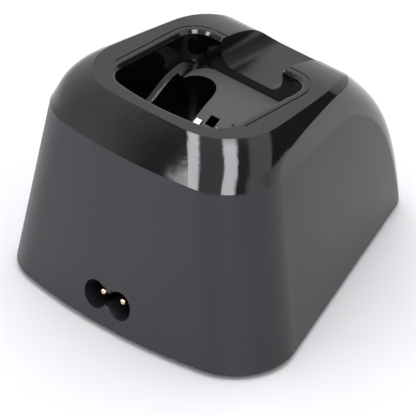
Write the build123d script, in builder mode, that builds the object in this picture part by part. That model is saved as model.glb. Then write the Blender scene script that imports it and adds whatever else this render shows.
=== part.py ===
import math
import os

from build123d import *

os.makedirs("parts", exist_ok=True)

# Charging stand for a cordless hair clipper.
# Millimetres. X runs across, +Y is the back with the mains inlet, -Y is the toe
# in front of the user, Z is up. The origin is under the middle of the footprint.

# ---- outer form -------------------------------------------------------------
WALL = 2.4              # wall of the body shell and of the cover
SEAM_Z = 49.5           # height of the seam between satin shell and gloss cover
TOP_Z = 59.6            # height of the flat top
HIGH_Z = 70.0           # where the straight sides are carried on to before trimming
NOSE_R = 8.0            # rounding between the sides and the front slope
SHELL_BOTTOM = 1.6      # lower edge of shell and cover above the table

# plan outlines: half width at the back corner, y of the back edge, bow of the back
# edge, how fast the sides close towards the toe, corner radius
BASE_PLAN = dict(half=50.5, back=50.9, bow=8.3, taper=0.4122, corner=16.3)
SEAM_PLAN = dict(half=40.3, back=43.8, bow=3.2, taper=0.2586, corner=15.5)
BAND_PLAN = dict(half=37.3, back=40.5, bow=2.2, taper=0.185, corner=16.2)
CREST_PLAN = dict(half=30.4, back=35.0, bow=1.2, taper=0.122, corner=16.0)
BAND_Z = 55.2
FOOT_SHARE = 0.3
PLAN_FRONT = -61.0      # plans are drawn past the toe, the front slope cuts them
# above the seam the plans close in front too: y of the front edge, its corner radius
# and how far each side bellies out
SEAM_FRONT = dict(front=-31.0, corner=9.0, belly=0.01)
BAND_FRONT = dict(front=-21.0, corner=13.5, belly=0.2)
CREST_FRONT = dict(front=-15.5, corner=15.5, belly=0.7)

# side view of the front slope and of its roll into the flat top
SLOPE = [(-51.5, -4.0), (-50.5, 1.6), (-46.9, 13.0), (-42.4, 24.0), (-36.8, 34.8),
         (-30.2, 43.8), (-22.9, 51.5), (-14.4, 59.6), (-4.5, 69.0), (1.0, 74.3)]
CROWN = [(-21.6, 52.9), (-16.4, 57.0), (-9.0, 59.2), (-1.0, 59.6)]
# side view of the line where the gloss cover meets the satin shell
SEAM_LINE = [(-6.0, 49.5), (-12.5, 48.6), (-17.5, 46.2), (-22.2, 43.0), (-28.1, 37.4),
             (-33.3, 30.4), (-37.6, 22.9), (-41.3, 15.3), (-44.6, 8.0), (-47.4, 1.0)]

# ---- docking pocket ---------------------------------------------------------
POCKET_HALF = 20.4
POCKET_FRONT = -3.5
POCKET_BACK = 30.8
POCKET_BOW = 2.4
POCKET_FRONT_R = 5.5
POCKET_BACK_R = 7.5
TUB_WALL = 2.0
TUB_BOTTOM = 41.05
RIM_R = 1.2
GROOVE_OFF = 2.5        # middle of the line round the pocket, measured from its edge
GROOVE_W = 0.4
GROOVE_D = 0.25
NOTCH_HALF = 10.9
NOTCH_FLOOR = 52.3
NOTCH_R = 4.5
NOTCH_WALL = 2.0

# ---- pocket floor tray ------------------------------------------------------
FLOOR = [(-4.5, 49.9), (-3.5, 49.8), (5.8, 48.5), (11.5, 45.4), (16.5, 43.0),
         (23.0, 42.2), (32.5, 42.2)]
TRAY_GAP = 0.15
TRAY_SKIN = 2.0
SWEEP_R = 3.4           # rounding up to the pocket sides
WELL_Z = 37.5
WELL_SKIN = 1.2
KEY_WELL = dict(x=11.15, r=6.0, y0=6.5, y1=19.5)
SIDE_WELL = dict(x=-13.0, r=4.2, y0=6.5, y1=19.5)

# ---- sprung contacts --------------------------------------------------------
CONTACT_X = 3.45
CONTACT_W = 1.9
CONTACT_Y = (12.1, 14.4)
CONTACT_UP = 0.55       # how far a contact stands out of the tray floor
SLOT_GAP = 0.15
BOSS_Z = 40.5
FLANGE_T = 1.2
FLANGE_OUT = 1.0
STEM_R = 0.6
STEM_END = 30.6
SPRING_R = 0.87
SPRING_WIRE = 0.12
CARD_Z = (32.6, 33.6)

# ---- mains inlet ------------------------------------------------------------
INLET_Z = 9.1
LOBE_PITCH = 8.5
LOBE_R = 3.9
PIN_PITCH = 6.9
PIN_R = 0.95

# ---- base, board and fixings ------------------------------------------------
PLATE_Z = (0.8, 3.0)
RIM_TOP = 4.6
BASE_SCREWS = [(27.5, 24.5), (-27.5, 24.5), (9.5, -29.5), (-9.5, -29.5)]
POST_R = 3.3
FEET = [(31.0, 33.0), (-31.0, 33.0), (8.0, -38.5), (-8.0, -38.5)]
FOOT_R = 5.0
BOARD_X = 22.0
BOARD_Y = (-19.0, 28.0)
BOARD_Z = (7.4, 9.0)
BOARD_SCREWS = [(12.5, -15.2), (-12.5, -15.2), (18.5, 24.5), (-18.5, 24.5)]
TRAY_SCREWS = [(25.3, 5.0), (-25.3, 5.0)]
CARD_SCREWS = [(10.5, 12.5), (-10.5, 12.5)]


def between(low, high, share):
    # plan outline part of the way from one level to another
    return {key: low[key] + (high[key] - low[key]) * share for key in low}


def plan_sketch(plan, height, inset=0.0):
    # closed plan outline: bowed back edge, two round corners, sides closing to the toe
    back = plan["back"] - inset
    side = back - plan["bow"]
    lean = plan["taper"]
    half = plan["half"] - inset * (math.hypot(1, lean) + lean)
    toe = half - (side - PLAN_FRONT) * lean
    with BuildSketch(Plane.XY.offset(height)) as outline:
        with BuildLine():
            ThreePointArc((half, side), (0, back), (-half, side))
            Line((-half, side), (-toe, PLAN_FRONT))
            Line((-toe, PLAN_FRONT), (toe, PLAN_FRONT))
            Line((toe, PLAN_FRONT), (half, side))
        make_face()
        fillet([v for v in outline.vertices() if v.Y > side - 1],
               radius=plan["corner"] - inset)
    return outline.sketch


def closed_plan(plan, front, height, inset):
    # plan outline of one level of the gloss crest, rounded at all four corners
    back = plan["back"] - inset
    side = back - plan["bow"]
    lean = plan["taper"]
    half = plan["half"] - inset * (math.hypot(1, lean) + lean)
    edge = front["front"] + inset
    toe = half - (side - edge) * lean
    waist = ((half + toe) / 2 + front["belly"], (side + edge) / 2)
    with BuildSketch(Plane.XY.offset(height)) as outline:
        with BuildLine():
            ThreePointArc((half, side), (0, back), (-half, side))
            ThreePointArc((-half, side), (-waist[0], waist[1]), (-toe, edge))
            Line((-toe, edge), (toe, edge))
            ThreePointArc((toe, edge), waist, (half, side))
        make_face()
        fillet([v for v in outline.vertices() if v.Y > side - 1],
               radius=plan["corner"] - inset)
        fillet([v for v in outline.vertices() if v.Y < edge + 1],
               radius=front["corner"] - inset)
    return outline.sketch


def crest_trim(inset=0.0):
    # everything above the seam that lies outside the gloss band
    seam_plan = dict(SEAM_PLAN, half=SEAM_PLAN["half"] + 0.06, back=SEAM_PLAN["back"] + 0.06)
    low = closed_plan(seam_plan, SEAM_FRONT, SEAM_Z, inset * 1.1)
    # a level close above the seam keeps the foot of the band straight
    foot = closed_plan(between(seam_plan, BAND_PLAN, FOOT_SHARE),
                       between(SEAM_FRONT, BAND_FRONT, FOOT_SHARE),
                       SEAM_Z + (BAND_Z - SEAM_Z) * FOOT_SHARE, inset * 1.1)
    middle = closed_plan(BAND_PLAN, BAND_FRONT, BAND_Z, inset * 1.15)
    high = closed_plan(CREST_PLAN, CREST_FRONT, TOP_Z, inset * 1.15)
    with BuildPart() as band:
        loft([low.faces()[0], foot.faces()[0], middle.faces()[0], high.faces()[0]])
    with BuildPart() as trim:
        with BuildSketch(Plane.XY.offset(SEAM_Z)):
            Rectangle(220, 220)
        extrude(amount=40)
        add(band.part, mode=Mode.SUBTRACT)
    return trim.part


def drawn_in(points, inset, start, end):
    # side view curve moved into the material, square to its own run
    last = len(points) - 1
    moved = []
    for i, (y, z) in enumerate(points):
        run = (points[min(i + 1, last)][0] - points[max(i - 1, 0)][0],
               points[min(i + 1, last)][1] - points[max(i - 1, 0)][1])
        run = start if i == 0 else end if i == last else run
        size = math.hypot(*run)
        moved.append((y + inset * run[1] / size, z - inset * run[0] / size))
    return moved


def crown_trim(inset=0.0):
    # everything above the flat top and its roll into the front slope
    curve = drawn_in(CROWN, inset, (1, 0.92), (1, 0))
    with BuildPart() as crown:
        with BuildSketch(Plane.YZ):
            with BuildLine():
                Spline(*curve, tangents=[(1, 0.92), (1, 0)])
                Polyline(curve[-1], (80, curve[-1][1]), (80, 95), (curve[0][0], 95), curve[0])
            make_face()
        extrude(amount=80, both=True)
    return crown.part


def stand_form(inset=0.0):
    # outside shape of the whole stand, or the same shape drawn in by a wall
    low = plan_sketch(BASE_PLAN, 0, inset)
    high = plan_sketch(between(BASE_PLAN, SEAM_PLAN, HIGH_Z / SEAM_Z), HIGH_Z, inset)
    trim = crest_trim(inset)
    crown = crown_trim(inset)
    curve = drawn_in(SLOPE, inset, (0.9, 4.6), (2.5, 2.4))
    with BuildPart() as form:
        loft([low.faces()[0], high.faces()[0]], ruled=True)
        with BuildSketch(Plane.YZ):
            with BuildLine():
                Spline(*curve)
                Polyline(curve[-1], (80, curve[-1][1]), (80, curve[0][1]), curve[0])
            make_face()
        extrude(amount=80, both=True, mode=Mode.INTERSECT)
        nose = [e for e in form.edges() if e.center().Y < 0 and abs(e.center().X) > 6
                and e.bounding_box().size.Z > 40]
        fillet(nose, radius=NOSE_R - inset)
        add(trim, mode=Mode.SUBTRACT)
        add(crown, mode=Mode.SUBTRACT)
    return form.part


def cover_side():
    # the part of space that belongs to the gloss cover: above and in front of the seam
    with BuildPart() as region:
        with BuildSketch(Plane.YZ):
            with BuildLine():
                Spline(*SEAM_LINE, tangents=[(-1, 0), (-0.35, -1)])
                Polyline(SEAM_LINE[-1], (-47.4, -5), (-90, -5), (-90, 90), (80, 90),
                         (80, SEAM_Z), SEAM_LINE[0])
            make_face()
        extrude(amount=90, both=True)
    return region.part


def pocket_sketch(height, grow=0.0):
    # plan outline of the docking pocket, grown outwards if asked
    half = POCKET_HALF + grow
    front = POCKET_FRONT - grow
    back = POCKET_BACK + grow
    side = back - POCKET_BOW
    with BuildSketch(Plane.XY.offset(height)) as outline:
        with BuildLine():
            ThreePointArc((half, side), (0, back), (-half, side))
            Line((-half, side), (-half, front))
            Line((-half, front), (half, front))
            Line((half, front), (half, side))
        make_face()
        fillet([v for v in outline.vertices() if v.Y < 0], radius=POCKET_FRONT_R + grow)
        fillet([v for v in outline.vertices() if v.Y > 20], radius=POCKET_BACK_R + grow)
    return outline.sketch


def prism(sketch, height):
    with BuildPart() as solid:
        add(sketch)
        extrude(amount=height)
    return solid.part


def notch_tool(half, floor, radius, front, back):
    # U shaped bar that runs front to back, open at the top
    with BuildPart() as bar:
        with BuildSketch(Plane.XZ.offset(-back)) as face:
            with Locations((0, (floor + 75) / 2)):
                Rectangle(2 * half, 75 - floor)
            fillet([v for v in face.vertices() if v.Z < floor + 1], radius=radius)
        extrude(amount=back - front)
    return bar.part


def save(part, name):
    # name the finished piece and write it out
    part.label = name
    export_step(part, "parts/" + name + ".step")
    print(name, part.is_valid, len(part.solids()), round(part.volume))


def discs(places, radius, low, high):
    # round pegs of one radius standing at several places
    with BuildPart() as pegs:
        with BuildSketch(Plane.XY.offset(low)):
            with Locations(*places):
                Circle(radius)
        extrude(amount=high - low)
    return pegs.part


def block(x0, x1, y0, y1, z0, z1):
    with BuildPart() as box:
        with Locations(((x0 + x1) / 2, (y0 + y1) / 2, (z0 + z1) / 2)):
            Box(x1 - x0, y1 - y0, z1 - z0)
    return box.part


def slot_bar(centre_x, radius, y0, y1, low, high):
    # upright bar with round ends, long way along Y
    with BuildPart() as bar:
        with BuildSketch(Plane.XY.offset(low)):
            with Locations((centre_x, y0), (centre_x, y1)):
                Circle(radius)
            with Locations((centre_x, (y0 + y1) / 2)):
                Rectangle(2 * radius, y1 - y0)
        extrude(amount=high - low)
    return bar.part


def inlet_bar(front, back, grow=0.0, keyed=True):
    # bar with the figure-of-eight outline of the inlet, running front to back
    with BuildPart() as bar:
        with BuildSketch(Plane.XZ.offset(-back)) as face:
            with Locations((LOBE_PITCH / 2, INLET_Z), (-LOBE_PITCH / 2, INLET_Z)):
                Circle(LOBE_R)
            with Locations((0, INLET_Z + 0.7)):
                Rectangle(6.8, 4.8)
            if keyed:
                with Locations((0, INLET_Z + 3.0)):
                    Rectangle(1.7, 1.6, mode=Mode.SUBTRACT)
                with Locations((3.6, INLET_Z + 3.3), (-3.6, INLET_Z + 3.3)):
                    Rectangle(0.9, 0.9)
            if grow:
                offset(amount=grow, kind=Kind.INTERSECTION)
        extrude(amount=back - front)
    return bar.part


# ---- shared tools -------------------------------------------------------------
outer = stand_form()
cavity = stand_form(WALL)
gloss_side = cover_side()
table_cut = block(-110, 110, -110, 110, -10, SHELL_BOTTOM)
tub_outer = prism(pocket_sketch(TUB_BOTTOM, TUB_WALL), 25)
tub_inner = prism(pocket_sketch(TUB_BOTTOM - 5), 40)
inlet_mouth = inlet_bar(40, 60)
socket_y = 45.6         # back face of the socket, just inside the shell

# ---- body shell: satin back and sides -------------------------------------------
with BuildPart() as body_shell:
    add(outer)
    add(gloss_side, mode=Mode.SUBTRACT)
    add(cavity, mode=Mode.SUBTRACT)
    add(table_cut, mode=Mode.SUBTRACT)
    # flat pad behind the opening that the socket is pushed against
    add(block(-13.5, 13.5, socket_y, 48.2, 3.6, 15.6))
    add(inlet_mouth, mode=Mode.SUBTRACT)
    # pad trimmed to the slope of the back wall
    with BuildSketch(Plane.YZ):
        Polygon((51.5, -5), (60, -5), (60, 60), (42.0, 60), align=None)
    extrude(amount=60, both=True, mode=Mode.SUBTRACT)
save(body_shell.part, "body_shell")

# ---- cover: gloss top, band and front slope --------------------------------------
groove_ring = prism(pocket_sketch(TOP_Z - GROOVE_D, GROOVE_OFF + GROOVE_W / 2), 5)
groove_core = prism(pocket_sketch(TOP_Z - GROOVE_D - 1, GROOVE_OFF - GROOVE_W / 2), 10)
notch_outer = notch_tool(NOTCH_HALF + NOTCH_WALL, NOTCH_FLOOR - NOTCH_WALL,
                         NOTCH_R + 1, -60, POCKET_FRONT - 0.5)
notch_inner = notch_tool(NOTCH_HALF, NOTCH_FLOOR, NOTCH_R, -60, POCKET_FRONT + 3)
skin_limit = stand_form(0.9)

with BuildPart() as cover_inside:
    # tub, notch channel and posts, kept inside the outer skin
    add(tub_outer)
    add(notch_outer)
    add(discs(BASE_SCREWS, POST_R, RIM_TOP, 65))
    add(discs(TRAY_SCREWS, 3.0, TUB_BOTTOM, 65))
    for x, y in TRAY_SCREWS:
        side = math.copysign(1, x)
        add(block(min(x, x - side * 5), max(x, x - side * 5), y - 1.5, y + 1.5,
                  TUB_BOTTOM, 65))
    add(skin_limit, mode=Mode.INTERSECT)

with BuildPart() as groove:
    # shallow line round the pocket, fading out at the back
    add(groove_ring)
    add(groove_core, mode=Mode.SUBTRACT)
    add(block(-60, 60, 23.0, 60, 0, 80), mode=Mode.SUBTRACT)

with BuildPart() as top_cover:
    add(outer)
    add(cavity, mode=Mode.SUBTRACT)
    add(gloss_side, mode=Mode.INTERSECT)
    add(table_cut, mode=Mode.SUBTRACT)
    add(cover_inside.part)
    add(tub_inner, mode=Mode.SUBTRACT)
    rim = [e for e in top_cover.edges() if e.center().Z > TOP_Z - 0.05
           and abs(e.center().X) < POCKET_HALF + 0.1
           and POCKET_FRONT - 0.1 < e.center().Y < POCKET_BACK + 0.1]
    fillet(rim, radius=RIM_R)
    add(groove.part, mode=Mode.SUBTRACT)
    add(notch_inner, mode=Mode.SUBTRACT)
    # screw holes up the posts and bosses
    add(discs(BASE_SCREWS, 1.15, 0, 20), mode=Mode.SUBTRACT)
    add(discs(TRAY_SCREWS, 0.95, 30, 50), mode=Mode.SUBTRACT)
save(top_cover.part, "top_cover")

# ---- tray: grained pocket floor with its wells -------------------------------------
tray_plan = pocket_sketch(WELL_Z - WELL_SKIN, -TRAY_GAP)
with BuildPart() as floor_tool:
    # space above the tray floor, rounded where it sweeps up to the sides
    with BuildSketch(Plane.YZ.offset(-POCKET_HALF - 0.4)):
        with BuildLine():
            Spline(*FLOOR, tangents=[(1, -0.1), (1, 0)])
            Polyline(FLOOR[-1], (FLOOR[-1][0], 70), (FLOOR[0][0], 70), FLOOR[0])
        make_face()
    extrude(amount=2 * POCKET_HALF + 0.8)
    sweep_edges = [e for e in floor_tool.edges() if e.bounding_box().size.Y > 30
                   and e.center().Z < 60]
    fillet(sweep_edges, radius=SWEEP_R)

with BuildPart() as under_floor:
    # hollow below the tray floor
    with BuildSketch(Plane.YZ.offset(-POCKET_HALF + 2.0)):
        with BuildLine():
            Spline(*[(y, z - TRAY_SKIN) for y, z in FLOOR], tangents=[(1, -0.1), (1, 0)])
            Polyline((FLOOR[-1][0], FLOOR[-1][1] - TRAY_SKIN), (FLOOR[-1][0], 20),
                     (FLOOR[0][0], 20), (FLOOR[0][0], FLOOR[0][1] - TRAY_SKIN))
        make_face()
    extrude(amount=2 * POCKET_HALF - 4.0)
    add(block(-60, 60, -10, POCKET_FRONT + 1.8, 0, 90), mode=Mode.SUBTRACT)
    add(block(-60, 60, POCKET_BACK - 5.0, 60, 0, 90), mode=Mode.SUBTRACT)

well_skins = []
well_holes = []
for well in (KEY_WELL, SIDE_WELL):
    well_skins.append(slot_bar(well["x"], well["r"] + WELL_SKIN, well["y0"], well["y1"],
                               WELL_Z - WELL_SKIN, 55))
    well_holes.append(slot_bar(well["x"], well["r"], well["y0"], well["y1"], WELL_Z, 70))
# the key well is open as far as the side wall of the tray
side_wall = POCKET_HALF - TRAY_GAP - WELL_SKIN
well_skins.append(block(KEY_WELL["x"], side_wall + WELL_SKIN, KEY_WELL["y0"] - 3.6,
                        KEY_WELL["y1"] + 1.3, WELL_Z - WELL_SKIN, 55))
well_holes.append(block(KEY_WELL["x"], side_wall, KEY_WELL["y0"] - 2.4,
                        KEY_WELL["y1"] + 0.1, WELL_Z, 70))
slot_y = (CONTACT_Y[0] - SLOT_GAP, CONTACT_Y[1] + SLOT_GAP)
slot_half = CONTACT_W / 2 + SLOT_GAP

with BuildPart() as tray_solid:
    # whole height of the tray in plan, cut to the floor surface
    add(tray_plan)
    extrude(amount=20)
    add(floor_tool.part, mode=Mode.SUBTRACT)

with BuildPart() as dock_tray:
    add(tray_solid.part)
    add(under_floor.part, mode=Mode.SUBTRACT)
    # walls of the hanging skirt end above the flange
    add(block(-60, 60, -60, 60, 20, TUB_BOTTOM - 2.0), mode=Mode.SUBTRACT)
    # cups of the two wells and the block that guides the contacts
    for skin in well_skins:
        add(skin)
    add(block(-5.6, 5.4, 7.6, 17.2, BOSS_Z, 50))
    add(floor_tool.part, mode=Mode.SUBTRACT)
    # flange under the tub, with its two screw ears
    add(prism(pocket_sketch(TUB_BOTTOM - 2.0, TUB_WALL), 1.95))
    add(discs(TRAY_SCREWS, 3.0, TUB_BOTTOM - 2.0, TUB_BOTTOM - 0.05))
    for x, y in TRAY_SCREWS:
        side = math.copysign(1, x)
        add(block(min(x, x - side * 6), max(x, x - side * 6), y - 3, y + 3,
                  TUB_BOTTOM - 2.0, TUB_BOTTOM - 0.05))
    with BuildSketch(Plane.XY.offset(30)):
        Rectangle(2 * POCKET_HALF - 4.4, 100)
        with Locations((0, (POCKET_FRONT + 1.8 + POCKET_BACK - 5.0) / 2)):
            Rectangle(100, POCKET_BACK - 5.0 - POCKET_FRONT - 1.8, mode=Mode.INTERSECT)
    extrude(amount=TUB_BOTTOM - 0.05 - 30, mode=Mode.SUBTRACT)
    for skin in well_skins:
        add(skin)
    add(block(-5.6, 5.4, 7.6, 17.2, BOSS_Z, 50))
    # posts that carry the contact card
    add(discs(CARD_SCREWS, 2.2, CARD_Z[1], WELL_Z))
    add(floor_tool.part, mode=Mode.SUBTRACT)
    for hole in well_holes:
        add(hole, mode=Mode.SUBTRACT)
    # room for the contacts and springs beside the key well
    add(block(-4.7, 4.7, 9.0, 16.1, 30, BOSS_Z), mode=Mode.SUBTRACT)
    for x in (CONTACT_X, -CONTACT_X):
        add(block(x - slot_half, x + slot_half, slot_y[0], slot_y[1], 30, 60),
            mode=Mode.SUBTRACT)
    # key slot between the contacts, and the sink mark beside them
    add(block(-1.55, 1.55, 9.6, 12.2, BOSS_Z + 1.0, 60), mode=Mode.SUBTRACT)
    add(discs([(-6.2, 9.6)], 0.45, 45.4, 50), mode=Mode.SUBTRACT)
    add(discs(TRAY_SCREWS, 1.15, 30, 50), mode=Mode.SUBTRACT)
    add(discs(CARD_SCREWS, 0.8, 30, WELL_Z - WELL_SKIN + 0.2), mode=Mode.SUBTRACT)
save(dock_tray.part, "dock_tray")

# ---- sprung contacts and their springs ----------------------------------------------
stem_y = (CONTACT_Y[0] + CONTACT_Y[1]) / 2
flange_top = BOSS_Z - 0.05
flange_low = flange_top - FLANGE_T
raised_floor = floor_tool.part.moved(Location((0, 0, CONTACT_UP)))
for name, x in (("contact_right", CONTACT_X), ("contact_left", -CONTACT_X)):
    x0, x1 = x - CONTACT_W / 2, x + CONTACT_W / 2
    with BuildPart() as contact:
        add(block(x0, x1, CONTACT_Y[0], CONTACT_Y[1], flange_low, 52))
        add(raised_floor, mode=Mode.SUBTRACT)
        add(block(x0, x1, CONTACT_Y[0] - FLANGE_OUT, CONTACT_Y[1] + FLANGE_OUT,
                  flange_low, flange_top))
        add(discs([(x, stem_y)], STEM_R, STEM_END, flange_low))
    save(contact.part, name)

for name, x in (("spring_right", CONTACT_X), ("spring_left", -CONTACT_X)):
    coil_low = CARD_Z[1] + SPRING_WIRE
    coil_high = flange_low - SPRING_WIRE
    with BuildPart() as spring:
        with BuildLine():
            coil = Helix(pitch=(coil_high - coil_low) / 7.0, height=coil_high - coil_low,
                         radius=SPRING_R, center=(x, stem_y, coil_low))
        with BuildSketch(Plane(origin=coil @ 0, z_dir=coil % 0)):
            Circle(SPRING_WIRE)
        sweep(path=coil, is_frenet=True)
    save(spring.part, name)

# ---- contact card under the tray ------------------------------------------------------
with BuildPart() as contact_card:
    add(block(-13.0, 13.0, 7.5, 18.0, CARD_Z[0], CARD_Z[1]))
    fillet(contact_card.edges().filter_by(Axis.Z), radius=1.0)
    add(discs([(CONTACT_X, stem_y), (-CONTACT_X, stem_y)], 0.75, 30, 36), mode=Mode.SUBTRACT)
    add(discs(CARD_SCREWS, 1.0, 30, 36), mode=Mode.SUBTRACT)
save(contact_card.part, "contact_card")


def screws(places, head_r, head_h, shank_r, seat, length, up=True):
    # pan head screws; the shank points up from the seat, or down
    way = 1 if up else -1
    with BuildPart() as group:
        add(discs(places, head_r, min(seat, seat - way * head_h), max(seat, seat - way * head_h)))
        face = [e for e in group.edges() if abs(e.center().Z - (seat - way * head_h)) < 0.01]
        fillet(face, radius=head_h * 0.35)
        add(discs(places, shank_r, min(seat, seat + way * length), max(seat, seat + way * length)))
        # cross recess
        with BuildSketch(Plane.XY.offset(seat - way * head_h)):
            with Locations(*places):
                Rectangle(head_r * 1.15, head_r * 0.26)
                Rectangle(head_r * 0.26, head_r * 1.15)
        extrude(amount=way * head_h * 0.55, mode=Mode.SUBTRACT)
    return group.part


save(screws(CARD_SCREWS, 1.8, 1.1, 0.8, CARD_Z[0], 3.7), "card_screws")
save(screws(TRAY_SCREWS, 2.1, 1.4, 0.95, TUB_BOTTOM - 2.0, 8.0), "tray_screws")
save(screws(BASE_SCREWS, 2.6, 1.4, 1.15, 2.4, 14.0), "base_screws")
save(screws(BOARD_SCREWS, 1.9, 1.2, 0.95, BOARD_Z[1], 5.2, up=False), "board_screws")

# ---- mains inlet ------------------------------------------------------------------------
socket_back = 34.0
pin_tail = 31.0
pin_tip = 47.6
with BuildPart() as inlet_socket:
    add(block(-12.5, 12.5, socket_back, socket_y, PLATE_Z[1], 15.0))
    fillet(inlet_socket.edges().filter_by(Axis.Y).group_by(Axis.Z)[-1], radius=2.0)
    add(inlet_bar(socket_y - 7.6, socket_y + 1), mode=Mode.SUBTRACT)
    with BuildSketch(Plane.XZ.offset(-socket_back)):
        with Locations((PIN_PITCH / 2, INLET_Z), (-PIN_PITCH / 2, INLET_Z)):
            Circle(PIN_R)
    extrude(amount=-20, mode=Mode.SUBTRACT)
save(inlet_socket.part, "inlet_socket")

for name, x in (("inlet_pin_right", PIN_PITCH / 2), ("inlet_pin_left", -PIN_PITCH / 2)):
    with BuildPart() as pin:
        with BuildSketch(Plane.XZ.offset(-pin_tail)):
            with Locations((x, INLET_Z)):
                Circle(PIN_R)
        extrude(amount=-(pin_tip - pin_tail))
        fillet(pin.edges().group_by(Axis.Y)[-1], radius=0.55)
    save(pin.part, name)

# ---- circuit board and what stands on it ------------------------------------------------
board_top = BOARD_Z[1]
with BuildPart() as circuit_board:
    with BuildSketch(Plane.XY.offset(BOARD_Z[0])):
        Polygon((BOARD_X, BOARD_Y[1]), (-BOARD_X, BOARD_Y[1]), (-BOARD_X, -6), (-15, BOARD_Y[0]),
                (15, BOARD_Y[0]), (BOARD_X, -6), align=None)
        with Locations(*BOARD_SCREWS):
            Circle(1.2, mode=Mode.SUBTRACT)
    extrude(amount=BOARD_Z[1] - BOARD_Z[0])
save(circuit_board.part, "circuit_board")

coil_x, coil_y = 4.0, 4.0
core_low, core_high = board_top + 2.4, board_top + 16.4
leg_half, window_out = 2.3, 6.1
window_low, window_high = core_low + 2.6, core_high - 2.6
with BuildPart() as transformer_core:
    with BuildSketch(Plane.XZ.offset(-(coil_y + 4.0))):
        with Locations((coil_x, (core_low + core_high) / 2)):
            Rectangle(17.0, core_high - core_low)
        for way in (1, -1):
            with Locations((coil_x + way * (leg_half + window_out) / 2,
                            (window_low + window_high) / 2)):
                Rectangle(window_out - leg_half, window_high - window_low, mode=Mode.SUBTRACT)
    extrude(amount=8.0)
save(transformer_core.part, "transformer_core")

with BuildPart() as transformer_bobbin:
    add(block(coil_x - 9, coil_x + 9, coil_y - 7, coil_y + 7, board_top, core_low))
    add(block(coil_x - 3.1, coil_x + 3.1, coil_y - 4.9, coil_y + 4.9, window_low, window_high))
    add(block(coil_x - 5.8, coil_x + 5.8, coil_y - 6.6, coil_y + 6.6, window_low, window_low + 0.8))
    add(block(coil_x - 5.8, coil_x + 5.8, coil_y - 6.6, coil_y + 6.6,
              window_high - 0.8, window_high))
    # cheeks that tie the spool to its foot, in front of and behind the core
    for way in (1, -1):
        near, far = coil_y + way * 4.1, coil_y + way * 6.6
        add(block(coil_x - 5.0, coil_x + 5.0, min(near, far), max(near, far),
                  core_low, window_low + 0.8))
    add(block(coil_x - leg_half - 0.05, coil_x + leg_half + 0.05, coil_y - 4.05, coil_y + 4.05,
              core_low, core_high), mode=Mode.SUBTRACT)
save(transformer_bobbin.part, "transformer_bobbin")

with BuildPart() as transformer_winding:
    add(block(coil_x - 5.3, coil_x + 5.3, coil_y - 6.2, coil_y + 6.2,
              window_low + 0.8, window_high - 0.8))
    fillet(transformer_winding.edges().filter_by(Axis.Z), radius=1.8)
    add(block(coil_x - 3.1, coil_x + 3.1, coil_y - 4.9, coil_y + 4.9, window_low, window_high),
        mode=Mode.SUBTRACT)
save(transformer_winding.part, "transformer_winding")


def can(x, y, radius, height):
    # upright electrolytic can with a crimped neck and a scored top
    with BuildPart() as body:
        add(discs([(x, y)], radius, board_top, board_top + height))
        fillet(body.edges(), radius=0.7)
        with BuildSketch(Plane.XY.offset(board_top + 1.6)):
            with Locations((x, y)):
                Circle(radius + 0.5)
                Circle(radius - 0.35, mode=Mode.SUBTRACT)
        extrude(amount=0.9, mode=Mode.SUBTRACT)
        with BuildSketch(Plane.XY.offset(board_top + height)):
            with Locations((x, y)):
                Rectangle(radius * 1.3, 0.4)
                Rectangle(0.4, radius * 1.3)
        extrude(amount=-0.25, mode=Mode.SUBTRACT)
    return body.part


save(can(-14.0, 14.5, 5.0, 15.0), "input_capacitor")
save(can(-9.5, -8.5, 4.0, 11.0), "output_capacitor")

choke_x, choke_y = 14.6, 17.0
with BuildPart() as choke_core:
    add(discs([(choke_x, choke_y)], 4.2, board_top, board_top + 1.2))
    add(discs([(choke_x, choke_y)], 1.9, board_top, board_top + 9.0))
    add(discs([(choke_x, choke_y)], 4.2, board_top + 7.8, board_top + 9.0))
save(choke_core.part, "choke_core")
with BuildPart() as choke_coil:
    add(discs([(choke_x, choke_y)], 3.7, board_top + 1.2, board_top + 7.8))
    add(discs([(choke_x, choke_y)], 1.9, board_top, board_top + 9.0), mode=Mode.SUBTRACT)
save(choke_coil.part, "choke_coil")

with BuildPart() as fuse:
    add(discs([(3.6, 20.4)], 4.0, board_top, board_top + 7.6))
    fillet(fuse.edges().group_by(Axis.Z)[-1], radius=0.6)
save(fuse.part, "fuse")


def chip(x0, x1, y0, y1, height, legs, leg_gap, along_x=False):
    # moulded package with bent legs down both long sides
    with BuildPart() as body:
        add(block(x0, x1, y0, y1, board_top + 0.5, board_top + height))
        for i in range(legs):
            shift = (i - (legs - 1) / 2) * leg_gap
            for way in (1, -1):
                if along_x:
                    px = (x0 + x1) / 2 + shift
                    edge = y1 if way > 0 else y0
                    add(block(px - 0.25, px + 0.25, min(edge, edge + way * 0.9),
                              max(edge, edge + way * 0.9), board_top, board_top + 0.9))
                else:
                    py = (y0 + y1) / 2 + shift
                    edge = x1 if way > 0 else x0
                    add(block(min(edge, edge + way * 0.9), max(edge, edge + way * 0.9),
                              py - 0.25, py + 0.25, board_top, board_top + 0.9))
    return body.part


save(chip(-9.2, -1.2, 18.4, 24.2, 3.6, 2, 5.0, along_x=True), "bridge_rectifier")
save(chip(11.8, 15.8, -10.6, -5.6, 1.9, 4, 1.27), "controller_chip")
save(chip(15.4, 19.6, -1.0, 5.4, 3.8, 2, 2.54), "optocoupler")

with BuildPart() as output_diode:
    with BuildSketch(Plane.YZ.offset(3.4)):
        with Locations((-13.4, board_top + 1.6)):
            Circle(1.35)
    extrude(amount=5.0)
    with BuildSketch(Plane.YZ.offset(2.0)):
        with Locations((-13.4, board_top + 1.6)):
            Circle(0.4)
    extrude(amount=7.8)
    add(discs([(2.4, -13.4), (9.4, -13.4)], 0.4, board_top, board_top + 1.6))
save(output_diode.part, "output_diode")

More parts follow.
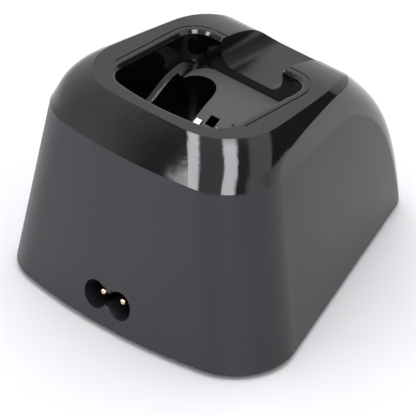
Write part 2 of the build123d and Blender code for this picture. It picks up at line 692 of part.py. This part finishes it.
with BuildPart() as disc_capacitor:
    with BuildSketch(Plane.YZ.offset(-18.6)):
        with Locations((2.0, board_top + 5.2)):
            Circle(4.2)
    extrude(amount=3.2)
    fillet(disc_capacitor.edges(), radius=1.3)
    add(discs([(-17.0, 0.0), (-17.0, 4.0)], 0.35, board_top, board_top + 3.0))
save(disc_capacitor.part, "disc_capacitor")

# ---- wiring -------------------------------------------------------------------------------


def lead(points, radius):
    # insulated wire bent along a smooth path
    with BuildPart() as wire:
        with BuildLine():
            path = Spline(*points)
        with BuildSketch(Plane(origin=path @ 0, z_dir=path % 0)):
            Circle(radius)
        sweep(path=path)
    return wire.part


for name, way in (("mains_lead_right", 1), ("mains_lead_left", -1)):
    x = way * PIN_PITCH / 2
    save(lead([(x, pin_tail - 0.7, INLET_Z + 0.6), (x, 29.0, 11.2), (x, 26.9, 11.2),
               (x * 0.97, 25.6, board_top + 0.25)], 0.6), name)
for name, way in (("contact_lead_right", 1), ("contact_lead_left", -1)):
    x = way * 2.0 - 1.0
    save(lead([(x, -15.4, board_top + 0.15), (x, -14.6, 17.0), (way * 2.2, -8.5, 26.5),
               (way * 2.8, 2.0, 29.4), (way * 3.0, 8.7, CARD_Z[0] - 0.55)], 0.6), name)

# ---- base plate, feet -------------------------------------------------------------------
flange_form = stand_form(0.9)
rim_form = stand_form(WALL + 0.25)
rim_hollow = stand_form(WALL + 1.75)
with BuildPart() as base_flange:
    add(block(-60, 60, -60, 60, PLATE_Z[0], SHELL_BOTTOM))
    add(flange_form, mode=Mode.INTERSECT)
with BuildPart() as base_floor:
    add(block(-60, 60, -60, 60, SHELL_BOTTOM - 0.01, RIM_TOP))
    add(rim_form, mode=Mode.INTERSECT)
    add(rim_hollow.intersect(block(-60, 60, -60, 60, PLATE_Z[1], 20)), mode=Mode.SUBTRACT)
with BuildPart() as base_plate:
    add(base_flange.part)
    add(base_floor.part)
    add(discs(BASE_SCREWS, 4.0, PLATE_Z[1], RIM_TOP))
    add(discs(BOARD_SCREWS, 2.6, PLATE_Z[1], BOARD_Z[0]))
    # ribs that hold the socket against the back wall
    for way in (1, -1):
        add(block(min(way * 6.0, way * 11.5), max(way * 6.0, way * 11.5),
                  socket_back - 1.9, socket_back, PLATE_Z[1], 11.5))
    # gap in the rim for the socket
    add(block(-15, 15, 44.0, 60, PLATE_Z[1], 12), mode=Mode.SUBTRACT)
    add(discs(FEET, FOOT_R + 0.1, 0, 1.8), mode=Mode.SUBTRACT)
    add(discs(BASE_SCREWS, 3.0, 0, 2.4), mode=Mode.SUBTRACT)
    add(discs(BASE_SCREWS, 1.5, 0, 10), mode=Mode.SUBTRACT)
    add(discs(BOARD_SCREWS, 0.95, PLATE_Z[1] + 0.6, 10), mode=Mode.SUBTRACT)
    # cooling slots
    with BuildSketch(Plane.XY):
        with GridLocations(0, 5.0, 1, 5):
            SlotOverall(18.0, 1.8)
    extrude(amount=6, mode=Mode.SUBTRACT)
save(base_plate.part, "base_plate")

with BuildPart() as rubber_feet:
    add(discs(FEET, FOOT_R, 0, 1.8))
    fillet(rubber_feet.edges().group_by(Axis.Z)[0], radius=0.5)
save(rubber_feet.part, "rubber_feet")
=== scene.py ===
import math

import bpy
from mathutils import Matrix, Vector


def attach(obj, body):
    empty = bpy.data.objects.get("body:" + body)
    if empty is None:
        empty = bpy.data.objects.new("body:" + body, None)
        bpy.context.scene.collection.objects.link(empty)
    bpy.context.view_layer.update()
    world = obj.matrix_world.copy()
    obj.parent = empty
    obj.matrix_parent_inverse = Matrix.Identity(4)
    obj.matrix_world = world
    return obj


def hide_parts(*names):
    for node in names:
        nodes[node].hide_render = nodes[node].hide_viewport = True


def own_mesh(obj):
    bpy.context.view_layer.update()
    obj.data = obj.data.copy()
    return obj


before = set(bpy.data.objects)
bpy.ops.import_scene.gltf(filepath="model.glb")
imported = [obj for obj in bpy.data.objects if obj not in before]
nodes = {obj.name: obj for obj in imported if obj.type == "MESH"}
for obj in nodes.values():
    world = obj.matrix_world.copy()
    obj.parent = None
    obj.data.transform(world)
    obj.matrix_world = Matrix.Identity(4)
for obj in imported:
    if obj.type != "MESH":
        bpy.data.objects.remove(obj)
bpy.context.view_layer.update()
scene = bpy.context.scene
mm = 0.001
print("frame loaded:", len(nodes), "pieces")


def linear(hexColour):
    # sRGB hex to the linear colour that the shader wants
    parts = [int(hexColour[i:i + 2], 16) / 255 for i in (1, 3, 5)]
    return [p / 12.92 if p <= 0.04045 else ((p + 0.055) / 1.055) ** 2.4 for p in parts] + [1.0]


def addNode(tree, kind, settings=None, inputs=None, links=None):
    # one node, its settings, its socket values, and what feeds it
    node = tree.nodes.new(kind)
    for key, value in (settings or {}).items():
        setattr(node, key, value)
    for key, value in (inputs or {}).items():
        node.inputs[key].default_value = value
    for key, source in (links or {}).items():
        tree.links.new(source, node.inputs[key])
    return node


def setStops(ramp, stops):
    # colour ramp stops as (place, grey or colour)
    band = ramp.color_ramp
    while len(band.elements) > len(stops):
        band.elements.remove(band.elements[-1])
    while len(band.elements) < len(stops):
        band.elements.new(1.0)
    for element, (place, value) in zip(band.elements, stops):
        element.position = place
        element.color = value if isinstance(value, (list, tuple)) else (value, value, value, 1)


def newMaterial(name):
    material = bpy.data.materials.new(name)
    material.use_nodes = True
    tree = material.node_tree
    tree.nodes.clear()
    out = addNode(tree, "ShaderNodeOutputMaterial")
    shader = addNode(tree, "ShaderNodeBsdfPrincipled")
    tree.links.new(shader.outputs[0], out.inputs["Surface"])
    place = addNode(tree, "ShaderNodeTexCoord").outputs["Object"]
    return material, tree, shader, place


def plastic(name, look):
    # moulded plastic: even colour with a faint cloud, grain as bump, sheen that wanders a little
    material, tree, shader, place = newMaterial(name)
    shader.inputs["IOR"].default_value = look["ior"]
    cloud = addNode(tree, "ShaderNodeTexNoise", inputs={"Scale": 1 / (look["cloudMm"] * mm), "Detail": 3},
                    links={"Vector": place})
    tint = addNode(tree, "ShaderNodeValToRGB", links={"Fac": cloud.outputs["Fac"]})
    setStops(tint, [(0.3, linear(look["dark"])), (0.7, linear(look["light"]))])
    tree.links.new(tint.outputs["Color"], shader.inputs["Base Color"])
    rough = addNode(tree, "ShaderNodeMapRange", links={"Value": cloud.outputs["Fac"]},
                    inputs={"From Min": 0.3, "From Max": 0.7,
                            "To Min": look["roughness"] - look["wander"],
                            "To Max": look["roughness"] + look["wander"]})
    tree.links.new(rough.outputs["Result"], shader.inputs["Roughness"])
    grain = addNode(tree, "ShaderNodeTexNoise",
                    inputs={"Scale": 1 / (look["grainMm"] * mm), "Detail": look.get("detail", 2.0)},
                    links={"Vector": place})
    bump = addNode(tree, "ShaderNodeBump",
                   inputs={"Strength": look["bump"], "Distance": look["depthMm"] * mm},
                   links={"Height": grain.outputs["Fac"]})
    tree.links.new(bump.outputs["Normal"], shader.inputs["Normal"])
    return material


def metal(name, look):
    # drawn, plated or rolled metal: fine streaks along one axis break up the shine
    material, tree, shader, place = newMaterial(name)
    shader.inputs["Metallic"].default_value = 1.0
    stretch = addNode(tree, "ShaderNodeMapping", links={"Vector": place},
                      inputs={"Scale": look["stretch"]})
    streak = addNode(tree, "ShaderNodeTexNoise",
                     inputs={"Scale": 1 / (look["streakMm"] * mm), "Detail": 3},
                     links={"Vector": stretch.outputs["Vector"]})
    tint = addNode(tree, "ShaderNodeValToRGB", links={"Fac": streak.outputs["Fac"]})
    setStops(tint, [(0.3, linear(look["dark"])), (0.7, linear(look["light"]))])
    tree.links.new(tint.outputs["Color"], shader.inputs["Base Color"])
    rough = addNode(tree, "ShaderNodeMapRange", links={"Value": streak.outputs["Fac"]},
                    inputs={"From Min": 0.3, "From Max": 0.7,
                            "To Min": look["roughness"] - look["wander"],
                            "To Max": look["roughness"] + look["wander"]})
    tree.links.new(rough.outputs["Result"], shader.inputs["Roughness"])
    bump = addNode(tree, "ShaderNodeBump",
                   inputs={"Strength": look["bump"], "Distance": look["depthMm"] * mm},
                   links={"Height": streak.outputs["Fac"]})
    tree.links.new(bump.outputs["Normal"], shader.inputs["Normal"])
    return material


def overrideWhere(tree, shader, name, mask, value):
    # where the mask is 1 the shader's input takes the value, elsewhere it keeps what fed it
    fed = shader.inputs[name].links[0].from_socket
    kind = "RGBA" if name == "Base Color" else "FLOAT"
    mix = addNode(tree, "ShaderNodeMix", settings={"data_type": kind}, links={0: mask})
    first, second = [i for i in mix.inputs if i.enabled and i.name in ("A", "B")]
    tree.links.new(fed, first)
    second.default_value = value
    result = next(o for o in mix.outputs if o.enabled)
    tree.links.new(result, shader.inputs[name])


def dress(material, *names):
    for name in names:
        node = nodes[name]
        node.data.materials.clear()
        node.data.materials.append(material)


# ABS, spark-eroded tool: satin, soft wide highlights; grain is about 0.1 mm, drawn at 0.5 to show
shellLook = {"dark": "#1a1a1f", "light": "#1e1e23", "ior": 1.50, "roughness": 0.4, "wander": 0.02,
             "cloudMm": 14, "grainMm": 0.5, "bump": 0.16, "depthMm": 0.05}
dress(plastic("ABS spark-eroded satin", shellLook), "body_shell")

# ABS from a polished tool: black, mirror-like, with the slight ripple that flow leaves in the skin;
# the finger notch is duller, so inside its box the reflections are blurred
coverLook = {"dark": "#08080a", "light": "#0c0c0f", "ior": 1.52, "roughness": 0.06, "wander": 0.015,
             "cloudMm": 20, "grainMm": 3.2, "bump": 0.12, "depthMm": 0.05, "detail": 3.0,
             "notchMin": (-11.2, -25.0, 51.9), "notchMax": (11.2, -3.7, 59.4),
             "notchEdge": 0.3, "notchRoughness": 0.3}


def coverMaterial():
    material = plastic("ABS polished black", coverLook)
    tree = material.node_tree
    shader = next(n for n in tree.nodes if n.type == "BSDF_PRINCIPLED")
    place = addNode(tree, "ShaderNodeTexCoord").outputs["Object"]
    # distance outside the notch's box
    low, high = coverLook["notchMin"], coverLook["notchMax"]
    middle = tuple((a + b) / 2 * mm for a, b in zip(low, high))
    half = tuple((b - a) / 2 * mm for a, b in zip(low, high))
    local = addNode(tree, "ShaderNodeVectorMath", settings={"operation": "SUBTRACT"},
                    inputs={1: middle}, links={0: place})
    away = addNode(tree, "ShaderNodeVectorMath", settings={"operation": "ABSOLUTE"},
                   links={0: local.outputs["Vector"]})
    over = addNode(tree, "ShaderNodeVectorMath", settings={"operation": "SUBTRACT"},
                   inputs={1: half}, links={0: away.outputs["Vector"]})
    past = addNode(tree, "ShaderNodeVectorMath", settings={"operation": "MAXIMUM"},
                   inputs={1: (0, 0, 0)}, links={0: over.outputs["Vector"]})
    outside = addNode(tree, "ShaderNodeVectorMath", settings={"operation": "LENGTH"},
                      links={0: past.outputs["Vector"]}).outputs["Value"]
    inNotch = addNode(tree, "ShaderNodeMapRange", links={"Value": outside},
                      inputs={"From Min": 0.0, "From Max": coverLook["notchEdge"] * mm,
                              "To Min": 1.0, "To Max": 0.0}).outputs["Result"]
    overrideWhere(tree, shader, "Roughness", inNotch, coverLook["notchRoughness"])
    return material


dress(coverMaterial(), "top_cover")

# ABS, coarse etched grain on the floor only: catches light evenly, so it reads as a dry grey;
# the wells and the sweep up to the walls are smooth, and their near-black colour is painted shade
trayLook = {"dark": "#434342", "light": "#4b4b49", "ior": 1.5, "roughness": 0.62, "wander": 0.05,
            "cloudMm": 0.9, "grainMm": 0.3, "bump": 0.6, "depthMm": 0.09,
            "smooth": "#0b0b0d", "smoothRoughness": 0.2,
            # the rounded rectangle and the tilt below set where the painted shade begins
            "half": 17.0, "front": -3.4, "back": 33.0, "corner": 5.1, "wellTop": 40.6, "edge": 0.1,
            "facingElseShade": (0.45, 0.6)}     # how upright a face has to look before it is grained


def trayMaterial():
    material = plastic("ABS etched floor, smooth wells", trayLook)
    tree = material.node_tree
    shader = next(n for n in tree.nodes if n.type == "BSDF_PRINCIPLED")
    place = addNode(tree, "ShaderNodeTexCoord").outputs["Object"]
    # distance outside a rounded rectangle, seen from above
    half = trayLook["half"] * mm
    middle = (trayLook["back"] + trayLook["front"]) / 2 * mm
    deep = (trayLook["back"] - trayLook["front"]) / 2 * mm
    corner = trayLook["corner"] * mm
    edge = trayLook["edge"] * mm
    local = addNode(tree, "ShaderNodeVectorMath", settings={"operation": "SUBTRACT"},
                    inputs={1: (0, middle, 0)}, links={0: place})
    away = addNode(tree, "ShaderNodeVectorMath", settings={"operation": "ABSOLUTE"},
                   links={0: local.outputs["Vector"]})
    flat = addNode(tree, "ShaderNodeVectorMath", settings={"operation": "MULTIPLY"},
                   inputs={1: (1, 1, 0)}, links={0: away.outputs["Vector"]})
    over = addNode(tree, "ShaderNodeVectorMath", settings={"operation": "SUBTRACT"},
                   inputs={1: (half - corner, deep - corner, 0)}, links={0: flat.outputs["Vector"]})
    past = addNode(tree, "ShaderNodeVectorMath", settings={"operation": "MAXIMUM"},
                   inputs={1: (0, 0, 0)}, links={0: over.outputs["Vector"]})
    outside = addNode(tree, "ShaderNodeVectorMath", settings={"operation": "LENGTH"},
                      links={0: past.outputs["Vector"]}).outputs["Value"]
    onFloor = addNode(tree, "ShaderNodeMapRange", links={"Value": outside},
                      inputs={"From Min": corner - edge, "From Max": corner + edge,
                              "To Min": 1.0, "To Max": 0.0}).outputs["Result"]
    # faces that tilt away from straight up (the sweep into the walls) get the near-black: painted shade
    normal = addNode(tree, "ShaderNodeNewGeometry").outputs["Normal"]
    upright = addNode(tree, "ShaderNodeSeparateXYZ", links={0: normal}).outputs["Z"]
    low, high = trayLook["facingElseShade"]
    facingElseShade = addNode(tree, "ShaderNodeMapRange", links={"Value": upright},
                     inputs={"From Min": low, "From Max": high}).outputs["Result"]
    # below the top of the wells the colour is near-black as well: painted shade in the wells
    height = addNode(tree, "ShaderNodeSeparateXYZ", links={0: place}).outputs["Z"]
    above = addNode(tree, "ShaderNodeMapRange", links={"Value": height},
                    inputs={"From Min": trayLook["wellTop"] * mm - edge,
                            "From Max": trayLook["wellTop"] * mm}).outputs["Result"]
    both = addNode(tree, "ShaderNodeMath", settings={"operation": "MULTIPLY"},
                   links={0: onFloor, 1: facingElseShade}).outputs[0]
    grained = addNode(tree, "ShaderNodeMath", settings={"operation": "MULTIPLY"},
                      links={0: both, 1: above}).outputs[0]
    smooth = addNode(tree, "ShaderNodeMath", settings={"operation": "SUBTRACT"},
                     inputs={0: 1.0}, links={1: grained}).outputs[0]
    # near-black over the wells and the sweep is painted shade; the lower roughness there is their real
    # smooth finish
    overrideWhere(tree, shader, "Base Color", smooth, linear(trayLook["smooth"]))
    overrideWhere(tree, shader, "Roughness", smooth, trayLook["smoothRoughness"])
    return material


dress(trayMaterial(), "dock_tray")

# polypropylene base, left as moulded: dull black
baseLook = {"dark": "#17171a", "light": "#1d1d20", "ior": 1.49, "roughness": 0.55, "wander": 0.04,
            "cloudMm": 9, "grainMm": 0.5, "bump": 0.25, "depthMm": 0.05}
dress(plastic("PP as moulded", baseLook), "base_plate")

# silicone rubber feet: dusty, no highlight to speak of
footLook = {"dark": "#1a1a1b", "light": "#27272a", "ior": 1.41, "roughness": 0.78, "wander": 0.06,
            "cloudMm": 3, "grainMm": 0.6, "bump": 0.3, "depthMm": 0.04}
dress(plastic("silicone rubber", footLook), "rubber_feet")

# nylon inlet block: deep black, low sheen
socketLook = {"dark": "#0c0c0d", "light": "#131314", "ior": 1.53, "roughness": 0.4, "wander": 0.04,
              "cloudMm": 4, "grainMm": 0.4, "bump": 0.2, "depthMm": 0.04}
dress(plastic("PA6 glass filled", socketLook), "inlet_socket")
print("shells dressed")


# bright nickel on brass: warm white, sharp glints
contactLook = {"dark": "#d9d4c8", "light": "#f4f1ea", "roughness": 0.2, "wander": 0.05,
               "streakMm": 0.35, "stretch": (1, 0.2, 1), "bump": 0.15, "depthMm": 0.02}
dress(metal("nickel plate bright", contactLook), "contact_right", "contact_left")

# plated brass pins: turned, so the streaks run round them
pinLook = {"dark": "#d8bd92", "light": "#f5e3c0", "roughness": 0.22, "wander": 0.05,
           "streakMm": 0.3, "stretch": (1, 3, 1), "bump": 0.15, "depthMm": 0.02}
dress(metal("brass plated turned", pinLook), "inlet_pin_right", "inlet_pin_left")

# zinc-plated screws: bluish grey, slightly milky
screwLook = {"dark": "#8d9296", "light": "#b9bdc0", "roughness": 0.36, "wander": 0.08,
             "streakMm": 0.4, "stretch": (1, 1, 1), "bump": 0.2, "depthMm": 0.02}
dress(metal("steel zinc plated", screwLook), "base_screws", "tray_screws", "card_screws", "board_screws")

# drawn spring wire: streaks along the wire
springLook = {"dark": "#9a9b9c", "light": "#c9cacb", "roughness": 0.3, "wander": 0.06,
              "streakMm": 0.2, "stretch": (1, 1, 4), "bump": 0.2, "depthMm": 0.01}
dress(metal("spring steel drawn", springLook), "spring_right", "spring_left")

# each coil gets shorter as its contact is pressed; here a copy of the same form stands for it, at its
# full length
for side in ("right", "left"):
    coil = bpy.data.objects.new("coil_" + side, nodes["spring_" + side].data.copy())
    scene.collection.objects.link(coil)
    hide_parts("spring_" + side)
    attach(coil, "stand")
    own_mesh(coil)

# enamelled copper winding
copperLook = {"dark": "#8a3c1a", "light": "#c7683a", "roughness": 0.32, "wander": 0.05,
              "streakMm": 0.3, "stretch": (1, 1, 5), "bump": 0.5, "depthMm": 0.06}
dress(metal("copper enamelled", copperLook), "choke_coil")
print("metal dressed")


# phenolic paper board: brown, slightly fibrous, as in low-cost mains supplies
boardLook = {"dark": "#7c5a2c", "light": "#94703c", "ior": 1.55, "roughness": 0.48, "wander": 0.05,
             "cloudMm": 2.2, "grainMm": 0.5, "bump": 0.2, "depthMm": 0.03}
dress(plastic("FR1 phenolic board", boardLook), "circuit_board", "contact_card")

# sintered ferrite: dark, dry, with a stony speckle
ferriteLook = {"dark": "#2b2b2c", "light": "#3c3c3e", "ior": 1.6, "roughness": 0.6, "wander": 0.06,
               "cloudMm": 0.7, "grainMm": 0.3, "bump": 0.4, "depthMm": 0.04}
dress(plastic("ferrite sintered", ferriteLook), "transformer_core", "choke_core")

# glass-filled epoxy and nylon bodies of the small components
epoxyLook = {"dark": "#141415", "light": "#1f1f21", "ior": 1.55, "roughness": 0.5, "wander": 0.05,
             "cloudMm": 1.5, "grainMm": 0.35, "bump": 0.25, "depthMm": 0.03}
dress(plastic("epoxy moulded", epoxyLook), "transformer_bobbin", "fuse", "bridge_rectifier",
      "controller_chip", "optocoupler", "output_diode")

# polyester tape over the winding: yellow, waxy
tapeLook = {"dark": "#c79a12", "light": "#e3b92a", "ior": 1.6, "roughness": 0.3, "wander": 0.05,
            "cloudMm": 2, "grainMm": 0.8, "bump": 0.2, "depthMm": 0.04}
dress(plastic("polyester tape", tapeLook), "transformer_winding")

# PVC sleeve shrunk on the capacitors: dark blue, glossy
sleeveLook = {"dark": "#101c3a", "light": "#16264c", "ior": 1.53, "roughness": 0.25, "wander": 0.04,
              "cloudMm": 4, "grainMm": 1.2, "bump": 0.15, "depthMm": 0.04}
dress(plastic("PVC sleeve", sleeveLook), "input_capacitor", "output_capacitor")

# dipped ceramic disc: light blue with a lacquered look
discLook = {"dark": "#4b7fb0", "light": "#5f93c2", "ior": 1.5, "roughness": 0.35, "wander": 0.04,
            "cloudMm": 2, "grainMm": 0.8, "bump": 0.25, "depthMm": 0.05}
dress(plastic("ceramic dipped", discLook), "disc_capacitor")

# PVC insulation on the leads: soft sheen, one colour for each
leadLook = {"ior": 1.53, "roughness": 0.4, "wander": 0.05,
            "cloudMm": 3, "grainMm": 0.6, "bump": 0.15, "depthMm": 0.03,
            "colours": {"grey": ("#8a8a8e", "#a0a0a4", ["mains_lead_right", "mains_lead_left"]),
                        "red": ("#8f1414", "#a81d1d", ["contact_lead_right"]),
                        "black": ("#151516", "#1f1f20", ["contact_lead_left"])}}
for colour, (dark, light, names) in leadLook["colours"].items():
    dress(plastic("PVC lead " + colour, dict(leadLook, dark=dark, light=light)), *names)
print("electronics dressed")


# degrees, metres, and the lens and its film in millimetres; it aims behind the stand's middle
cameraLook = {"azimuth": 223.75, "elevation": 32.53, "roll": 0.37, "distance": 1.3669,
              "lens": 462.6, "film": 36, "clip": (0.05, 20),
              "aim": (-10.04 * mm, 22.82 * mm, 29.4 * mm)}


def makeCamera():
    az = math.radians(cameraLook["azimuth"])
    el = math.radians(cameraLook["elevation"])
    back = Vector((math.sin(az) * math.cos(el), -math.cos(az) * math.cos(el), math.sin(el)))
    right = Vector((0, 0, 1)).cross(back).normalized()
    right = Matrix.Rotation(math.radians(cameraLook["roll"]), 3, back) @ right
    up = back.cross(right)
    data = bpy.data.cameras.new("camera")
    data.lens = cameraLook["lens"]
    data.sensor_width = cameraLook["film"]
    data.clip_start, data.clip_end = cameraLook["clip"]
    camera = bpy.data.objects.new("camera", data)
    scene.collection.objects.link(camera)
    turn = Matrix((right, up, back)).transposed().to_4x4()
    spot = Vector(cameraLook["aim"]) + back * cameraLook["distance"]
    camera.matrix_world = Matrix.Translation(spot) @ turn
    scene.camera = camera


makeCamera()


# uncoated paper: nearly white, dry
floorLook = {"size": 6.0, "dark": "#f2f2f2", "light": "#f6f6f6", "ior": 1.4, "roughness": 0.7,
             "wander": 0.02, "cloudMm": 60, "grainMm": 1.5, "bump": 0.03, "depthMm": 0.05}


def makeFloor():
    # paper sweep, wide enough for every view
    half = floorLook["size"] / 2
    mesh = bpy.data.meshes.new("paper_floor")
    mesh.from_pydata([(-half, -half, 0), (half, -half, 0), (half, half, 0), (-half, half, 0)],
                     [], [(0, 1, 2, 3)])
    floor = bpy.data.objects.new("paper_floor", mesh)
    scene.collection.objects.link(floor)
    floor.data.materials.append(plastic("paper sweep", floorLook))


# one big softbox overhead for the soft shading; it stays out of reflections, which show the room
softboxLook = {"place": (0.1, -0.1, 1.6), "aim": (0, 0, 0.03), "side": 1.4, "power": 9}


def makeSoftbox():
    data = bpy.data.lights.new("overhead softbox", "AREA")
    data.shape = "RECTANGLE"
    data.size = data.size_y = softboxLook["side"]
    data.energy = softboxLook["power"]
    light = bpy.data.objects.new("overhead softbox", data)
    scene.collection.objects.link(light)
    place = Vector(softboxLook["place"])
    light.location = place
    light.rotation_mode = "QUATERNION"
    light.rotation_quaternion = (place - Vector(softboxLook["aim"])).to_track_quat("Z", "Y")
    light.visible_camera = False
    light.visible_glossy = False


# The room as the gloss skin mirrors it. Bands of light stand round the stand. Each stop is
# (degrees round from the back towards the left side, brightness). A band is as bright low down
# as high up, so it shows as an upright streak on a rounded corner. Flat tops and upright walls
# mirror the plain brightness instead. The soft one lights the object and the floor.
roomLook = {"seen": 1.0, "soft": 0.95, "tint": "#fbfaff", "top": 12.0, "plain": 1.0,
            "ragged": 3.0, "raggedFrom": (2.0, 4.5), "rippleScale": 22.0,
            "from": (-0.583, 0.609, 0.538), "flat": (0.28, 0.40), "steep": (0.90, 0.94),
            "bands": [(-180, 1.0), (-2.5, 1.0), (1.2, 0.22), (3.5, 0.2), (4.5, 10.5), (14.5, 10.5),
                      (16, 0.85), (38, 0.85), (39.5, 10.5), (50, 10.5), (51.5, 0.3), (60, 0.3),
                      (64, 1.35), (84, 1.35), (86, 0.12), (107, 0.12), (109, 1.0), (180, 1.0)]}


def makeWorld():
    # the camera sees plain white, reflections see the bands and the gaps between them
    world = bpy.data.worlds.new("white studio")
    scene.world = world
    world.use_nodes = True
    tree = world.node_tree
    tree.nodes.clear()
    out = addNode(tree, "ShaderNodeOutputWorld")
    way = addNode(tree, "ShaderNodeTexCoord").outputs["Generated"]
    half = addNode(tree, "ShaderNodeVectorMath", settings={"operation": "ADD"}, links={0: way},
                   inputs={1: roomLook["from"]}).outputs["Vector"]
    level = addNode(tree, "ShaderNodeVectorMath", settings={"operation": "MULTIPLY"}, links={0: half},
                    inputs={1: (1, 1, 0)}).outputs["Vector"]
    reach = addNode(tree, "ShaderNodeVectorMath", settings={"operation": "LENGTH"}, links={0: level})
    whole = addNode(tree, "ShaderNodeVectorMath", settings={"operation": "LENGTH"}, links={0: half})
    tilt = addNode(tree, "ShaderNodeMath", settings={"operation": "DIVIDE"},
                   links={0: reach.outputs["Value"], 1: whole.outputs["Value"]}).outputs[0]
    split = addNode(tree, "ShaderNodeSeparateXYZ", links={0: half})
    minusX = addNode(tree, "ShaderNodeMath", settings={"operation": "MULTIPLY"},
                     links={0: split.outputs["X"]}, inputs={1: -1.0}).outputs[0]
    turned = addNode(tree, "ShaderNodeMath", settings={"operation": "ARCTAN2"},
                     links={0: minusX, 1: split.outputs["Y"]}).outputs[0]
    ripple = addNode(tree, "ShaderNodeTexNoise", links={"Vector": way},
                     inputs={"Scale": roomLook["rippleScale"], "Detail": 3})
    share = addNode(tree, "ShaderNodeMapRange", links={"Value": turned},
                    inputs={"From Min": -math.pi, "From Max": math.pi}).outputs["Result"]
    # the ripple moves the edges of the bright flats only, either way from their place
    calm, lively = [(angle + 180) / 360 for angle in roomLook["raggedFrom"]]
    loose = addNode(tree, "ShaderNodeMapRange", links={"Value": share},
                    inputs={"From Min": calm, "From Max": lively,
                            "To Max": roomLook["ragged"] / 360}).outputs["Result"]
    swing = addNode(tree, "ShaderNodeMath", settings={"operation": "SUBTRACT"},
                    links={0: ripple.outputs["Fac"]}, inputs={1: 0.5}).outputs[0]
    wobble = addNode(tree, "ShaderNodeMath", settings={"operation": "MULTIPLY_ADD"},
                     links={0: swing, 1: loose, 2: share}).outputs[0]
    bands = addNode(tree, "ShaderNodeValToRGB", links={"Fac": wobble})
    setStops(bands, [((angle + 180) / 360, value / roomLook["top"])
                     for angle, value in roomLook["bands"]])
    lit = addNode(tree, "ShaderNodeMath", settings={"operation": "MULTIPLY"},
                  links={0: bands.outputs["Color"]}, inputs={1: roomLook["top"]}).outputs[0]
    fade = addNode(tree, "ShaderNodeMapRange", links={"Value": tilt},
                   inputs={"From Min": roomLook["flat"][0],
                           "From Max": roomLook["flat"][1]}).outputs["Result"]
    upright = addNode(tree, "ShaderNodeMapRange", links={"Value": tilt},
                      inputs={"From Min": roomLook["steep"][0], "From Max": roomLook["steep"][1],
                              "To Min": 1.0, "To Max": 0.0}).outputs["Result"]
    shown = addNode(tree, "ShaderNodeMath", settings={"operation": "MULTIPLY"},
                    links={0: fade, 1: upright}).outputs[0]
    mixed = addNode(tree, "ShaderNodeMix", settings={"data_type": "FLOAT"}, links={0: shown})
    first, second = [i for i in mixed.inputs if i.enabled and i.name in ("A", "B")]
    first.default_value = roomLook["plain"]
    tree.links.new(lit, second)
    strength = next(o for o in mixed.outputs if o.enabled)
    seen = addNode(tree, "ShaderNodeBackground",
                   inputs={"Color": (1, 1, 1, 1), "Strength": roomLook["seen"]})
    soft = addNode(tree, "ShaderNodeBackground",
                   inputs={"Color": linear(roomLook["tint"]), "Strength": roomLook["soft"]})
    around = addNode(tree, "ShaderNodeBackground", inputs={"Color": linear(roomLook["tint"])},
                     links={"Strength": strength})
    ray = addNode(tree, "ShaderNodeLightPath")
    lights = addNode(tree, "ShaderNodeMixShader")
    tree.links.new(ray.outputs["Is Glossy Ray"], lights.inputs[0])
    tree.links.new(soft.outputs[0], lights.inputs[1])
    tree.links.new(around.outputs[0], lights.inputs[2])
    mix = addNode(tree, "ShaderNodeMixShader")
    tree.links.new(ray.outputs["Is Camera Ray"], mix.inputs[0])
    tree.links.new(lights.outputs[0], mix.inputs[1])
    tree.links.new(seen.outputs[0], mix.inputs[2])
    tree.links.new(mix.outputs[0], out.inputs["Surface"])


makeWorld()
makeFloor()
makeSoftbox()

scene.view_settings.view_transform = "Standard"
scene.view_settings.look = "None"
print("camera, floor and lights set")
